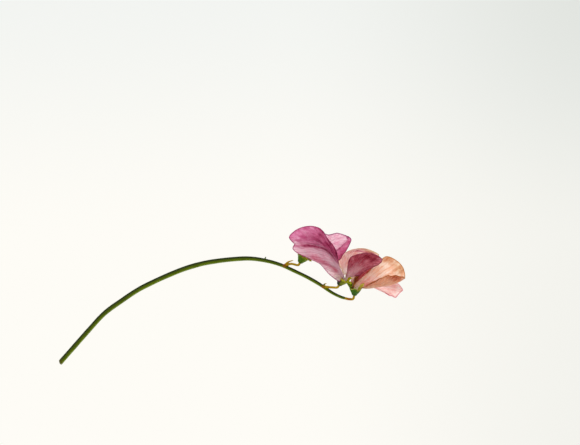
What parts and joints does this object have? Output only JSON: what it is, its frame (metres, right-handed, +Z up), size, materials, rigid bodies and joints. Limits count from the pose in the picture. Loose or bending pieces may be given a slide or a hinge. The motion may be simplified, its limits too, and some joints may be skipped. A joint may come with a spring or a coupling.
{
  "type": "sweet pea flower",
  "caption": "Cut sweet pea stem lying on its side, arching up to open mauve and peach blooms on short stalks, each in a toothed green calyx.",
  "frame": {"origin": "middle of the object's box, on the surface that it lies on", "axes": "+X along the stem from its cut end towards the blooms, +Y across it towards the side that the blooms lean to, +Z up from the surface"},
  "size_m": [0.1732, 0.0694, 0.0208],
  "materials": {
    "stem_green": "satin, dark green with paler ridges",
    "calyx_green": "soft satin, yellow-green towards the tips of the teeth",
    "petal_mauve": "thin, soft and translucent, with fine veins and a darker margin",
    "petal_peach": "thin, soft and translucent, with fine veins and an orange-brown margin",
    "petal_pale": "thin, soft and translucent"
  },
  "bodies": {
    "root": {"stem": "stem_green", "bloom_1_calyx": "calyx_green", "bloom_1_standard": "petal_mauve", "bloom_1_wing_left": "petal_mauve", "bloom_1_wing_right": "petal_mauve", "bloom_1_keel": "petal_pale", "bloom_2_calyx": "calyx_green", "bloom_2_standard": "petal_mauve", "bloom_2_wing_left": "petal_mauve", "bloom_2_wing_right": "petal_mauve", "bloom_2_keel": "petal_pale", "bloom_3_calyx": "calyx_green", "bloom_3_standard": "petal_peach", "bloom_3_wing_left": "petal_peach", "bloom_3_wing_right": "petal_peach", "bloom_3_keel": "petal_pale"}
  },
  "joints": []
}
